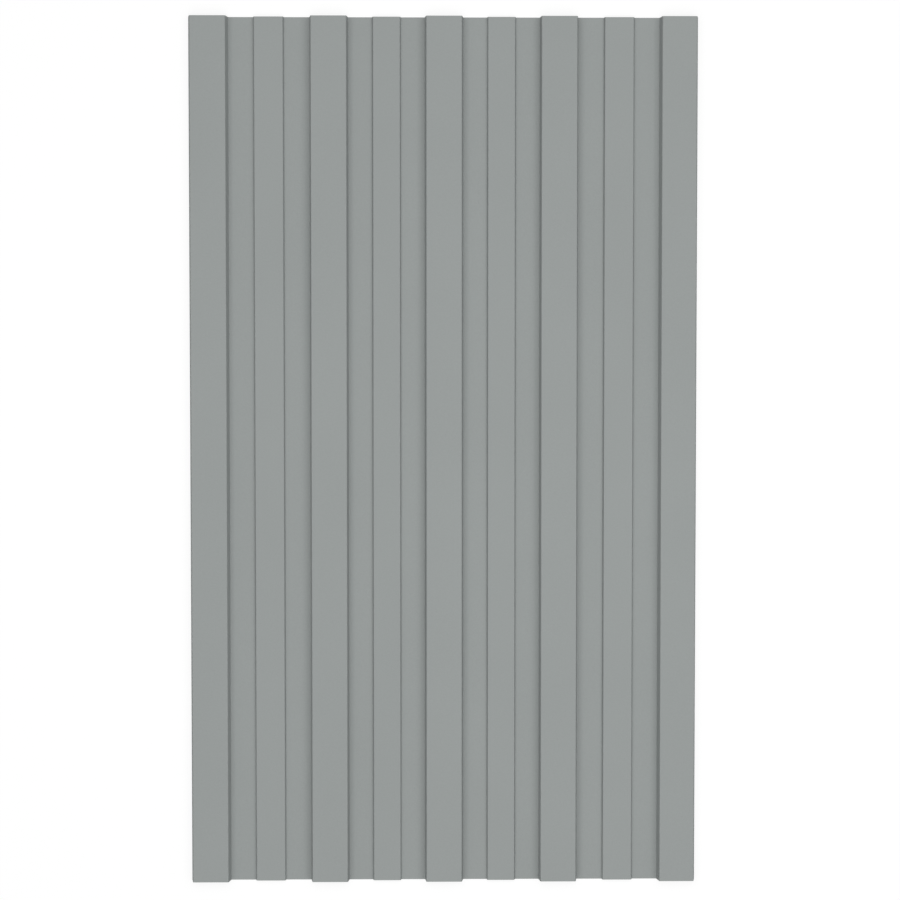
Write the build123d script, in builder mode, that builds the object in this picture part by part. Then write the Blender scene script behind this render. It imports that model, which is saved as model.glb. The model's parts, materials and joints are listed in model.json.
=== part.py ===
from build123d import *

import math
import os

# Corrugated steel sheet with a box-rib profile, rolled from one flat strip.
# X runs across the ribs, Y along them, Z up. The sheet lies on the undersides
# of its pans, which are at Z = 0, and the origin is under its middle.

# Strip
sheet_length = 800.0
sheet_thickness = 0.5
bend_radius = 0.5  # on the inside of every bend

# High ribs, from the left edge to the right one
rib_height = 10.4  # from the upper face of a pan to that of a rib
rib_top = 32.8  # the three ribs between the edges
underlap_rib_top = 31.85  # the right edge's rib, which goes under the next sheet
lap_side_gap = 0.1  # play on each side of the rib where two sheets lap
leg_clearance = 1.0  # the two outer legs stop this far above the floor
web_angle = 82.5  # degrees between a rib's web and the pan beside it
edge_web_angle = 80.0  # the same on the two edge ribs, which lean more to drop over each other

# Bays between the high ribs, each with a low stiffening rib in its middle
inner_bay = 73.2
outer_bay = 78.0
low_rib_height = 3.8
inner_low_rib_top = 24.9
outer_low_rib_top = 26.6
low_web_angle = 78.0  # degrees between a low rib's web and the pan beside it

# The left edge's rib is wider, so that it drops over the next sheet's right rib
lap_allowance = sheet_thickness * math.tan(math.radians(edge_web_angle) / 2) + lap_side_gap
lap_rib_top = underlap_rib_top + 2 * lap_allowance

rib_tops = [lap_rib_top, rib_top, rib_top, rib_top, underlap_rib_top]
bays = [outer_bay, inner_bay, inner_bay, outer_bay]
low_rib_tops = [outer_low_rib_top, inner_low_rib_top, inner_low_rib_top, outer_low_rib_top]

# Levels of the upper face, and how far each web leans out from top to bottom
pan_level = sheet_thickness
low_rib_level = pan_level + low_rib_height
rib_level = pan_level + rib_height
leg_level = leg_clearance
edge_web_slope = math.tan(math.radians(edge_web_angle))
web_run = rib_height / math.tan(math.radians(web_angle))
edge_web_run = rib_height / edge_web_slope
leg_run = (rib_level - leg_level) / edge_web_slope
low_web_run = low_rib_height / math.tan(math.radians(low_web_angle))
web_runs = [edge_web_run, web_run, web_run, web_run, edge_web_run]
sheet_width = sum(rib_tops) + sum(bays) + 2 * leg_run


def flats_across_sheet():
    """The flat strips of the upper face from left to right, each as its left end, right end and level."""
    flats = []
    left = leg_run - sheet_width / 2
    for n, (bay, low_rib) in enumerate(zip(bays, low_rib_tops)):
        right = left + rib_tops[n]
        next_left = right + bay
        low_left = (right + next_left - low_rib) / 2
        low_right = low_left + low_rib
        flats.append((left, right, rib_level))
        flats.append((right + web_runs[n], low_left - low_web_run, pan_level))
        flats.append((low_left, low_right, low_rib_level))
        flats.append((low_right + low_web_run, next_left - web_runs[n + 1], pan_level))
        left = next_left
    flats.append((left, left + underlap_rib_top, rib_level))
    return flats


# Corners of the upper face, and the radius of each bend: a rib's edge goes round
# the outside of its bend, a pan's edge round the inside
corners = [(-sheet_width / 2, leg_level)]
bend_radii = []
for left, right, level in flats_across_sheet():
    corners += [(left, level), (right, level)]
    bend_radii += 2 * [bend_radius if level == pan_level else bend_radius + sheet_thickness]
corners.append((sheet_width / 2, leg_level))

with BuildPart() as corrugated_sheet:
    with BuildSketch(Plane.XZ):
        with BuildLine():
            upper_face = FilletPolyline(*corners, radius=bend_radii)
            offset(upper_face, amount=sheet_thickness, side=Side.RIGHT)
        make_face()
    extrude(amount=sheet_length / 2, both=True)
corrugated_sheet.part.label = "corrugated_sheet"

os.makedirs("parts", exist_ok=True)
export_step(corrugated_sheet.part, "parts/corrugated_sheet.step")
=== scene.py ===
"""A corrugated steel sheet with a satin grey coat, lying on a white studio floor and seen from above."""
import json
import logging
import math
from collections.abc import Mapping
from dataclasses import dataclass
from enum import Enum

import bpy
from mathutils import Matrix, Vector


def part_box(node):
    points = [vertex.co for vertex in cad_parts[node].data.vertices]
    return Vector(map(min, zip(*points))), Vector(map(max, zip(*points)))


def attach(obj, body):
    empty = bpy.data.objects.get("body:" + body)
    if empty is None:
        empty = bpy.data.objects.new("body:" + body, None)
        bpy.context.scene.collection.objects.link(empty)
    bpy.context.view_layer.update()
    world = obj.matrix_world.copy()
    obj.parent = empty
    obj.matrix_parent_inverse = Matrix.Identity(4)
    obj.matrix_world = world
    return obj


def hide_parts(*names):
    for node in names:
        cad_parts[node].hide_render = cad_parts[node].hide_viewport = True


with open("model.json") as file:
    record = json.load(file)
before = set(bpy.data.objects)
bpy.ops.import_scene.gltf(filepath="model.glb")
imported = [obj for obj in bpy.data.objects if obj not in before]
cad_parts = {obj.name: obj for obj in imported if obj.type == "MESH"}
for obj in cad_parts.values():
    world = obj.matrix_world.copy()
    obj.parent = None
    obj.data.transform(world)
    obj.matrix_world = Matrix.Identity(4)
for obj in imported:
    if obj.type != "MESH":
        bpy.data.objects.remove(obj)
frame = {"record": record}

log = logging.getLogger("corrugated_sheet")

BODY = "root"
SHEET_NODE = "corrugated_sheet"
RIB_UNDERSIDE = "lap_rib_underside"
MM = 0.001

Colour = tuple[float, float, float, float]

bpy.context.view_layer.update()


class Strip(Enum):
    """The flat strips of one bay, numbered as they are met from left to right."""

    RIB = 0
    LEFT_PAN = 1
    LOW_RIB = 2
    RIGHT_PAN = 3


class RayLook(Enum):
    """The kinds of ray that see the white background instead of the studio's light."""

    CAMERA = "Is Camera Ray"
    GLOSSY = "Is Glossy Ray"
    TRANSMISSION = "Is Transmission Ray"


def grey(level: float) -> Colour:
    """A grey of one level, with no transparency."""
    return level, level, level, 1.0


class Wire:
    """An output socket, with operators that add Math nodes to its tree."""

    def __init__(self, bench: "Bench", socket: bpy.types.NodeSocket | None) -> None:
        """Wraps a socket.

        Args:
            bench: The tree that the socket belongs to.
            socket: The output socket, or None where a node has none.
        """
        self.bench = bench
        self.socket = socket

    def __add__(self, other: "Wire | float") -> "Wire":
        """This value plus another."""
        return self.bench.math("ADD", self, other)

    def __radd__(self, other: float) -> "Wire":
        """A number plus this value."""
        return self.bench.math("ADD", other, self)

    def __sub__(self, other: "Wire | float") -> "Wire":
        """This value less another."""
        return self.bench.math("SUBTRACT", self, other)

    def __rsub__(self, other: float) -> "Wire":
        """A number less this value."""
        return self.bench.math("SUBTRACT", other, self)

    def __mul__(self, other: "Wire | float") -> "Wire":
        """This value times another."""
        return self.bench.math("MULTIPLY", self, other)

    def __rmul__(self, other: float) -> "Wire":
        """A number times this value."""
        return self.bench.math("MULTIPLY", other, self)

    def __truediv__(self, other: "Wire | float") -> "Wire":
        """This value over another."""
        return self.bench.math("DIVIDE", self, other)

    def __rtruediv__(self, other: float) -> "Wire":
        """A number over this value."""
        return self.bench.math("DIVIDE", other, self)

    def __mod__(self, other: "Wire | float") -> "Wire":
        """What is left of this value after whole steps of another, never negative."""
        return self.bench.math("FLOORED_MODULO", self, other)

    def __gt__(self, other: "Wire | float") -> "Wire":
        """1 where this value is above another, and 0 elsewhere."""
        return self.bench.math("GREATER_THAN", self, other)

    def __lt__(self, other: "Wire | float") -> "Wire":
        """1 where this value is below another, and 0 elsewhere."""
        return self.bench.math("LESS_THAN", self, other)

    def __neg__(self) -> "Wire":
        """This value with its sign changed."""
        return self.bench.math("MULTIPLY", self, -1.0)

    def __abs__(self) -> "Wire":
        """This value without its sign."""
        return self.bench.math("ABSOLUTE", self)

    def __floor__(self) -> "Wire":
        """The whole number at or below this value."""
        return self.bench.math("FLOOR", self)

    def choose(self, yes: "Wire", no: "Wire") -> "Wire":
        """The first value where this one is 1, and the second where it is 0."""
        return no + self * (yes - no)


class Bench:
    """A node tree that is being filled."""

    def __init__(self, tree: bpy.types.NodeTree) -> None:
        """Takes a tree to work on, and empties it.

        Args:
            tree: A shader or geometry tree.
        """
        self.tree = tree
        tree.nodes.clear()

    def node(
        self,
        kind: str,
        settings: Mapping[str, object] | None = None,
        sockets: Mapping[str | int, object] | None = None,
        output: str | None = None,
    ) -> Wire:
        """Adds a node.

        Args:
            kind: The node's type.
            settings: The node's own settings, which are set first. A number for "items" sets how many an
                Index Switch has.
            sockets: What feeds each input socket, by its name, or by its number where two share a name:
                a wire, a list of wires or a plain value.
            output: The name of the output wanted, or None for the first.

        Returns:
            The output as a wire.
        """
        made = self.tree.nodes.new(kind)
        for name, value in (settings or {}).items():
            if name == "items":
                while len(made.index_switch_items) < value:
                    made.index_switch_items.new()
            else:
                setattr(made, name, value)
        for name, value in (sockets or {}).items():
            self.feed(self.pick(made.inputs, name), value)
        return Wire(self, self.pick(made.outputs, output) if made.outputs else None)

    def math(self, operation: str, first: Wire | float, second: Wire | float = 0.0) -> Wire:
        """Adds a Math node.

        Args:
            operation: The node's operation.
            first: Its first value.
            second: Its second value, which some operations don't use.

        Returns:
            The result as a wire.
        """
        return self.node("ShaderNodeMath", {"operation": operation}, {0: first, 1: second})

    def blend(self, share: Wire, first: Colour, second: Colour) -> Wire:
        """Adds a node that mixes two colours.

        Args:
            share: How much of the second colour there is, from 0 to 1.
            first: The colour at 0.
            second: The colour at 1.

        Returns:
            The colour as a wire.
        """
        return self.node("ShaderNodeMix", {"data_type": "RGBA"}, {"Factor": share, "A": first, "B": second})

    def size(self, name: str) -> Wire:
        """One of a geometry tree's own inputs as a wire."""
        return self.node("NodeGroupInput", output=name)

    def feed(self, socket: bpy.types.NodeSocket, value: object) -> None:
        """Links or sets an input socket.

        Args:
            socket: The input socket.
            value: A wire or a list of wires to link, or a plain value to set.
        """
        for item in value if isinstance(value, list) else [value]:
            if isinstance(item, Wire):
                self.tree.links.new(item.socket, socket)
            else:
                socket.default_value = item

    @staticmethod
    def pick(sockets: bpy.types.bpy_prop_collection, name: str | int | None) -> bpy.types.NodeSocket:
        """Finds a socket that is in use.

        Args:
            sockets: A node's inputs or outputs.
            name: The socket's name, its number, or None for the first.

        Returns:
            The socket of that number, or the first enabled one of that name.
        """
        if isinstance(name, int):
            return sockets[name]
        return next(socket for socket in sockets if socket.enabled and name in (None, socket.name))


@dataclass(frozen=True)
class CoatFinish:
    """A satin grey coat on steel, with faint clouds in its colour and a fine even grain."""

    colour: tuple[float, float, float] = (0.31, 0.33, 0.325)
    variation_share: float = 0.1
    cloud_share: float = 0.4
    cloud_size: float = 130 * MM
    grain_size: float = 1.4 * MM
    grain_depth: float = 0.05 * MM
    noise_detail: float = 3.0
    noise_middle: float = 0.5
    roughness: float = 0.55
    roughness_variation: float = 0.12
    specular: float = 0.2

    def shade(self, share: float) -> Colour:
        """The coat's colour, made lighter by a share of itself."""
        red, green, blue = (channel * (1 + share) for channel in self.colour)
        return red, green, blue, 1.0

    def material(self) -> bpy.types.Material:
        """Makes the coat's material.

        Returns:
            A material on Object coordinates.
        """
        made = bpy.data.materials.new("satin_grey_coat")
        made.use_nodes = True
        bench = Bench(made.node_tree)
        cloud = self.noise(bench, self.cloud_size)
        grain = self.noise(bench, self.grain_size)
        mottle = self.cloud_share * cloud + (1 - self.cloud_share) * grain
        darkest, lightest = self.shade(-self.variation_share), self.shade(self.variation_share)
        relief = bench.node("ShaderNodeBump", None, {"Distance": self.grain_depth, "Height": grain})
        shader = bench.node(
            "ShaderNodeBsdfPrincipled",
            None,
            {
                "Base Color": bench.blend(mottle, darkest, lightest),
                "Roughness": self.roughness + self.roughness_variation * (mottle - self.noise_middle),
                "Specular IOR Level": self.specular,
                "Normal": relief,
            },
        )
        bench.node("ShaderNodeOutputMaterial", None, {"Surface": shader})
        return made

    def noise(self, bench: Bench, size: float) -> Wire:
        """Adds a cloudy pattern.

        Args:
            bench: The material's tree.
            size: The width of its blotches.

        Returns:
            A value between 0 and 1, mostly near the middle.
        """
        place = bench.node("ShaderNodeTexCoord", output="Object")
        sockets = {"Vector": place, "Scale": 1 / size, "Detail": self.noise_detail}
        return bench.node("ShaderNodeTexNoise", None, sockets)


@dataclass
class CorrugatedSheet:
    """One sheet, rolled from a flat strip, with high ribs and a low rib in the middle of each bay."""

    length: float
    thickness: float
    rib_height: float
    finish: CoatFinish
    bend_radius: float = 0.5 * MM
    rib_top: float = 32.8 * MM
    underlap_rib_top: float = 31.85 * MM
    lap_side_gap: float = 0.1 * MM
    leg_clearance: float = 1.0 * MM
    web_angle: float = math.radians(82.5)
    edge_web_angle: float = math.radians(80)
    inner_bay: float = 73.2 * MM
    outer_bay: float = 78.0 * MM
    low_rib_height: float = 3.8 * MM
    inner_low_rib_top: float = 24.9 * MM
    outer_low_rib_top: float = 26.6 * MM
    low_web_angle: float = math.radians(78)
    bay_count: int = 4
    bend_steps: int = 8
    length_steps: int = 16
    sheared_edge_angle: float = math.radians(40)
    merge_share: float = 0.01

    def build(self) -> bpy.types.Object:
        """Makes the sheet as a plain mesh in the place of its solid.

        Returns:
            The finished object.
        """
        sizes = self.sizes()
        maker = bpy.data.objects.new("sheet_maker", bpy.data.meshes.new("sheet_maker"))
        bpy.context.scene.collection.objects.link(maker)
        modifier = maker.modifiers.new("rolled_sheet", "NODES")
        modifier.node_group, inputs = self.rolling_tree(sizes)
        for name, value in sizes.items():
            modifier[inputs[name]] = value
        flats_lead = maker.modifiers.new("flats_lead", "WEIGHTED_NORMAL")
        flats_lead.keep_sharp = True
        evaluated = maker.evaluated_get(bpy.context.evaluated_depsgraph_get())
        mesh = bpy.data.meshes.new_from_object(evaluated)
        mesh.name = "coated_sheet"
        bpy.data.objects.remove(maker)
        piece = bpy.data.objects.new("coated_sheet", mesh)
        bpy.context.scene.collection.objects.link(piece)
        return piece

    def dress(self, piece: bpy.types.Object) -> None:
        """Puts the sheet in the place of its solid, on the frame's one body.

        Args:
            piece: The finished sheet.
        """
        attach(piece, BODY)
        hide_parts(SHEET_NODE)

    def lap_rib_top(self) -> float:
        """The width of the left edge's rib, which drops over the next sheet's right rib."""
        allowance = self.thickness * math.tan(self.edge_web_angle / 2) + self.lap_side_gap
        return self.underlap_rib_top + 2 * allowance

    def sizes(self) -> dict[str, object]:
        """Lists the sheet's sizes and its coat.

        Returns:
            The values of the tree's inputs by name.
        """
        return {
            "Length": self.length,
            "Thickness": self.thickness,
            "Bend Radius": self.bend_radius,
            "Rib Height": self.rib_height,
            "Rib Top": self.rib_top,
            "Lap Rib Top": self.lap_rib_top(),
            "Underlap Rib Top": self.underlap_rib_top,
            "Leg Clearance": self.leg_clearance,
            "Web Angle": self.web_angle,
            "Edge Web Angle": self.edge_web_angle,
            "Bays": self.bay_count,
            "Inner Bay": self.inner_bay,
            "Outer Bay": self.outer_bay,
            "Low Rib Height": self.low_rib_height,
            "Inner Low Rib Top": self.inner_low_rib_top,
            "Outer Low Rib Top": self.outer_low_rib_top,
            "Low Web Angle": self.low_web_angle,
            "Bend Steps": self.bend_steps,
            "Length Steps": self.length_steps,
            "Coat": self.finish.material(),
        }

    def rolling_tree(self, sizes: Mapping[str, object]) -> tuple[bpy.types.NodeTree, dict[str, str]]:
        """Makes the tree that rolls the sheet from its sizes.

        Args:
            sizes: The values of the tree's inputs by name.

        Returns:
            A geometry tree with one named input for each size, and the inputs' identifiers by name.
        """
        tree = bpy.data.node_groups.new("rolled_sheet", "GeometryNodeTree")
        kinds = {float: "NodeSocketFloat", int: "NodeSocketInt", bpy.types.Material: "NodeSocketMaterial"}
        inputs = {}
        for name, value in sizes.items():
            socket = tree.interface.new_socket(name, in_out="INPUT", socket_type=kinds[type(value)])
            inputs[name] = socket.identifier
        tree.interface.new_socket("Sheet", in_out="OUTPUT", socket_type="NodeSocketGeometry")
        bench = Bench(tree)
        solid = self.thickened(bench, self.upper_face(bench, self.section(bench)))
        whole = bench.node("GeometryNodeRealizeInstances", None, {"Geometry": solid})
        coat = {"Geometry": whole, "Material": bench.size("Coat")}
        bench.node("NodeGroupOutput", None, {"Sheet": bench.node("GeometryNodeSetMaterial", None, coat)})
        return tree, inputs

    def section(self, bench: Bench) -> Wire:
        """Lays out the section's corners by walking across the sheet, and rounds its bends.

        Each step of the walk is the width of a flat strip or the lean of a web, and each corner stands
        at the sum of the steps that lead to it.

        Args:
            bench: The sheet's tree.

        Returns:
            The upper face's line as a curve, across the sheet along X, with its levels along -Y.
        """
        size = bench.size
        strips = len(Strip) * size("Bays") + 1
        last = 2 * strips + 1
        corner = bench.node("GeometryNodeInputIndex")
        strip = math.floor((corner + 1) / 2) - 1
        place = strip % len(Strip)
        bay = math.floor(strip / len(Strip))

        # The first and the last bay are the outer ones.
        outer = bench.math("MAXIMUM", bay < 1, bay > size("Bays") - 2)
        bay_width = outer.choose(size("Outer Bay"), size("Inner Bay"))
        low_rib = outer.choose(size("Outer Low Rib Top"), size("Inner Low Rib Top"))

        # The webs between an edge rib and the pan beside it, and the legs, have the edge ribs' lean.
        edge = bench.math("MAXIMUM", strip < 2, strip > strips - 3)
        slope = bench.math("TANGENT", edge.choose(size("Edge Web Angle"), size("Web Angle")))
        low_slope = bench.math("TANGENT", size("Low Web Angle"))
        pan = (bay_width - low_rib) / 2 - size("Rib Height") / slope - size("Low Rib Height") / low_slope
        right_rib = (strip > strips - 2).choose(size("Underlap Rib Top"), size("Rib Top"))
        rib = (strip < 1).choose(size("Lap Rib Top"), right_rib)
        width = self.by_strip(bench, place, rib, low_rib, pan)

        thickness = size("Thickness")
        rib_level = thickness + size("Rib Height")
        low_rib_level = thickness + size("Low Rib Height")
        flat_level = self.by_strip(bench, place, rib_level, low_rib_level, thickness)
        foot = bench.math("MAXIMUM", corner < 1, corner > last - 1)
        level = foot.choose(size("Leg Clearance"), flat_level)
        level_before = bench.node("GeometryNodeFieldAtIndex", None, {"Value": level, "Index": corner - 1})
        beside_low_rib = place > Strip.LEFT_PAN.value
        lean = abs(level - level_before) / beside_low_rib.choose(low_slope, slope)
        right_end = (corner + 1) % 2
        stride = {"Value": (corner > 0) * right_end.choose(width, lean)}
        reached = bench.node("GeometryNodeAccumulateField", None, stride, output="Leading")
        total = bench.node("GeometryNodeAccumulateField", None, stride, output="Total")

        # A section that is swept along +Y has its own Y pointing down.
        spot = bench.node("ShaderNodeCombineXYZ", None, {"X": reached - total / 2, "Y": -level})
        corners = bench.node("GeometryNodeMeshLine", None, {"Count": last + 1})
        line = bench.node("GeometryNodeSetPosition", None, {"Geometry": corners, "Position": spot})
        curve = bench.node("GeometryNodeMeshToCurve", None, {"Mesh": line})
        crest = 1 - place % 2
        radius = size("Bend Radius") + crest * thickness
        bends = {"Curve": curve, "Count": size("Bend Steps"), "Radius": radius}
        return bench.node("GeometryNodeFilletCurve", {"mode": "POLY"}, bends)

    @staticmethod
    def by_strip(bench: Bench, place: Wire, rib: Wire, low_rib: Wire, pan: Wire) -> Wire:
        """Chooses a value by the kind of strip.

        Args:
            bench: The sheet's tree.
            place: The strip's number in its bay.
            rib: The value on a high rib.
            low_rib: The value on a low rib.
            pan: The value on a pan.

        Returns:
            The chosen value.
        """
        values = {Strip.RIB: rib, Strip.LEFT_PAN: pan, Strip.LOW_RIB: low_rib, Strip.RIGHT_PAN: pan}
        sockets = {str(strip.value): value for strip, value in values.items()}
        settings = {"data_type": "FLOAT", "items": len(Strip)}
        return bench.node("GeometryNodeIndexSwitch", settings, {"Index": place, **sockets})

    def upper_face(self, bench: Bench, section: Wire) -> Wire:
        """Sweeps the section along the sheet.

        Args:
            bench: The sheet's tree.
            section: The upper face's line.

        Returns:
            The upper face, facing up.
        """
        half = bench.size("Length") / 2
        start = bench.node("ShaderNodeCombineXYZ", None, {"Y": -half})
        end = bench.node("ShaderNodeCombineXYZ", None, {"Y": half})
        rail = bench.node("GeometryNodeCurvePrimitiveLine", None, {"Start": start, "End": end})
        count = {"Curve": rail, "Count": bench.size("Length Steps") + 1}
        steps = bench.node("GeometryNodeResampleCurve", {"mode": "COUNT"}, count)
        return bench.node("GeometryNodeCurveToMesh", None, {"Curve": steps, "Profile Curve": section})

    def thickened(self, bench: Bench, face: Wire) -> Wire:
        """Gives the upper face its thickness, with smooth bends and sharp sheared edges.

        Args:
            bench: The sheet's tree.
            face: The upper face.

        Returns:
            The closed sheet.
        """
        thickness = bench.size("Thickness")
        downwards = {"Mesh": face, "Offset Scale": -thickness, "Individual": False}
        under = bench.node("GeometryNodeExtrudeMesh", {"mode": "FACES"}, downwards)
        turned = bench.node("GeometryNodeFlipFaces", None, {"Mesh": under})
        both = bench.node("GeometryNodeJoinGeometry", None, {"Geometry": [face, turned]})
        nearby = {"Geometry": both, "Distance": self.merge_share * thickness}
        closed = bench.node("GeometryNodeMergeByDistance", None, nearby)
        smooth = bench.node("GeometryNodeSetShadeSmooth", {"domain": "FACE"}, {"Geometry": closed})
        turn = bench.node("GeometryNodeInputMeshEdgeAngle", output="Unsigned Angle")
        sheared = {"Geometry": smooth, "Selection": turn > self.sheared_edge_angle, "Shade Smooth": False}
        return bench.node("GeometryNodeSetShadeSmooth", {"domain": "EDGE"}, sheared)


@dataclass
class PhotoCamera:
    """The camera, looking down on the sheet, with the sheet's far end at the top of the picture."""

    aim_level: float
    lens: float = 84.88
    sensor: float = 36.0
    distance: float = 1968.7 * MM
    shift_right: float = -6.05 * MM
    shift_up: float = -1.673 * MM
    pitch: float = math.radians(2.33)
    yaw: float = math.radians(0.67)
    roll: float = math.radians(0.027)

    def build(self) -> bpy.types.Object:
        """Makes the camera and sets it as the scene's.

        Returns:
            The camera object.
        """
        data = bpy.data.cameras.new("photo_camera")
        data.lens = self.lens
        data.sensor_width = self.sensor
        camera = bpy.data.objects.new("photo_camera", data)
        bpy.context.scene.collection.objects.link(camera)
        turn = (
            Matrix.Rotation(self.roll, 3, "Z")
            @ Matrix.Rotation(self.yaw, 3, "Y")
            @ Matrix.Rotation(self.pitch, 3, "X")
        ).transposed()
        spot = turn @ Vector((-self.shift_right, -self.shift_up, self.distance))
        camera.matrix_world = Matrix.Translation(spot + Vector((0, 0, self.aim_level))) @ turn.to_4x4()
        bpy.context.scene.camera = camera
        return camera


@dataclass(frozen=True)
class Softbox:
    """A square lamp with a soft even face, hung level over the sheet."""

    name: str
    height: float
    half_width: float
    level: float
    right: float = 0.0

    def build(self) -> bpy.types.Object:
        """Hangs the lamp, at the power that lights a level surface right under it to its level.

        Returns:
            The lamp object.
        """
        data = bpy.data.lights.new(self.name, "AREA")
        data.shape = "SQUARE"
        data.size = 2 * self.half_width
        data.energy = self.level / self.view_share() * math.pi * data.size**2
        lamp = bpy.data.objects.new(self.name, data)
        lamp.location = (self.right, 0, self.height)
        lamp.visible_camera = False
        bpy.context.scene.collection.objects.link(lamp)
        return lamp

    def view_share(self) -> float:
        """The share of a level surface's view, right under the lamp, that the lamp fills."""
        sine = math.sin(math.atan(self.half_width / self.height))
        return 4 / math.pi * sine * math.atan(sine)


def background_rays(bench: Bench) -> Wire:
    """Marks the rays that see the background.

    Args:
        bench: A material's or the world's tree.

    Returns:
        1 for camera, glossy and transmission rays, and 0 for light.
    """
    rays = [bench.node("ShaderNodeLightPath", output=look.value) for look in RayLook]
    return bench.math("MINIMUM", sum(rays), 1.0)


@dataclass(frozen=True)
class FloorPaint:
    """A matt floor that looks white and keeps the sheet's shadow. Its glow has painted shade from ambient
    occlusion under and beside the sheet, and it is see-through for a view from below.
    """

    shade: float = 0.2
    glow: float = 0.82
    # The reach, samples and sky limits of the painted shade that ambient occlusion cuts into the floor's
    # glow.
    cover_reach: float = 60 * MM
    cover_samples: int = 8
    covered_share: float = 0.2
    open_share: float = 0.45

    def material(self) -> bpy.types.Material:
        """Makes the floor's material.

        Returns:
            A material that glows for the rays that see the background. Painted shade from ambient occlusion
            cuts the glow near and under the sheet.
        """
        made = bpy.data.materials.new("white_floor")
        made.use_nodes = True
        bench = Bench(made.node_tree)
        # Painted shade: the glow fades with ambient occlusion under and beside the sheet.
        white = background_rays(bench) * self.open_floor(bench)
        paint = bench.node(
            "ShaderNodeBsdfPrincipled",
            None,
            {
                "Base Color": grey(self.shade),
                "Roughness": 1.0,
                "Specular IOR Level": 0.0,
                "Emission Color": bench.blend(white, grey(0.0), grey(self.glow)),
                "Emission Strength": 1.0,
            },
        )
        clear = bench.node("ShaderNodeBsdfTransparent")
        shader = bench.node("ShaderNodeMixShader", None, {0: self.from_below(bench), 1: paint, 2: clear})
        bench.node("ShaderNodeOutputMaterial", None, {"Surface": shader})
        return made

    def open_floor(self, bench: Bench) -> Wire:
        """Paints shade into the floor's glow from its ambient occlusion, so that the rib hollows and the
        floor beside the sheet go dark.

        Args:
            bench: The floor's tree.

        Returns:
            1 on open floor, falling to 0 in full painted shade under the sheet.
        """
        reach = {"Distance": self.cover_reach}
        # Ambient occlusion sets the painted shade in the glow.
        sky = bench.node("ShaderNodeAmbientOcclusion", {"samples": self.cover_samples}, reach, output="AO")
        limits = {"Value": sky, "From Min": self.covered_share, "From Max": self.open_share}
        return bench.node("ShaderNodeMapRange", {"interpolation_type": "SMOOTHSTEP"}, limits)

    @staticmethod
    def from_below(bench: Bench) -> Wire:
        """Marks the paths of a view from below, which see and light the underside through the floor.

        Args:
            bench: The floor's tree.

        Returns:
            1 on the floor's lower side and for a path that has come through it, and 0 elsewhere.
        """
        lower_side = bench.node("ShaderNodeNewGeometry", output="Backfacing")
        come_through = bench.node("ShaderNodeLightPath", output="Transparent Depth") > 0
        return bench.math("MAXIMUM", lower_side, come_through)


@dataclass
class Studio:
    """A white floor under a soft lamp, with a faint even light from all round."""

    paint: FloorPaint = FloorPaint()
    floor_size: float = 12.0
    floor_drop: float = 0.05 * MM
    ambient: float = 0.306
    softbox: Softbox = Softbox(
        name="overhead_softbox",
        height=1.6,
        half_width=1.343,
        level=0.655,
        right=0.14,
    )

    def build(self) -> list[bpy.types.Object]:
        """Makes the surrounding light, the floor and the lamp.

        Returns:
            The floor and the lamp.
        """
        bpy.context.scene.view_settings.view_transform = "Standard"
        self.surroundings()
        return [self.floor(), self.softbox.build()]

    def floor(self) -> bpy.types.Object:
        """Lays the floor a hair under the sheet, so that no two faces fall together.

        Returns:
            The floor object.
        """
        half = self.floor_size / 2
        plan = ((-half, -half), (half, -half), (half, half), (-half, half))
        mesh = bpy.data.meshes.new("studio_floor")
        mesh.from_pydata([(x, y, -self.floor_drop) for x, y in plan], [], [range(len(plan))])
        mesh.materials.append(self.paint.material())
        floor = bpy.data.objects.new("studio_floor", mesh)
        bpy.context.scene.collection.objects.link(floor)
        return floor

    def surroundings(self) -> None:
        """Makes the world: as pale as the far floor where it is seen, and a faint light elsewhere."""
        world = bpy.data.worlds.new("studio_surroundings")
        world.use_nodes = True
        bench = Bench(world.node_tree)
        far_floor = self.paint.glow + self.paint.shade * self.ambient
        colour = bench.blend(background_rays(bench), grey(self.ambient), grey(far_floor))
        light = bench.node("ShaderNodeBackground", None, {"Color": colour})
        bench.node("ShaderNodeOutputWorld", None, {"Surface": light})
        bpy.context.scene.world = world


def main() -> None:
    """Builds the sheet, the camera and the studio."""
    logging.basicConfig(level=logging.INFO, format="%(message)s")
    low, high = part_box(SHEET_NODE)
    mounts = {mount["name"]: mount for mount in frame["record"]["mounts"]}
    thickness = high.z - mounts[RIB_UNDERSIDE]["pos_m"][2]
    sheet = CorrugatedSheet(
        length=high.y - low.y,
        thickness=thickness,
        rib_height=high.z - low.z - thickness,
        finish=CoatFinish(),
    )
    piece = sheet.build()
    sheet.dress(piece)
    log.info("%s: %d faces", piece.name, len(piece.data.polygons))
    for made in [PhotoCamera(aim_level=thickness).build(), *Studio().build()]:
        log.info("%s: at %s", made.name, tuple(round(value, 3) for value in made.location))


if __name__ == "__main__":
    main()
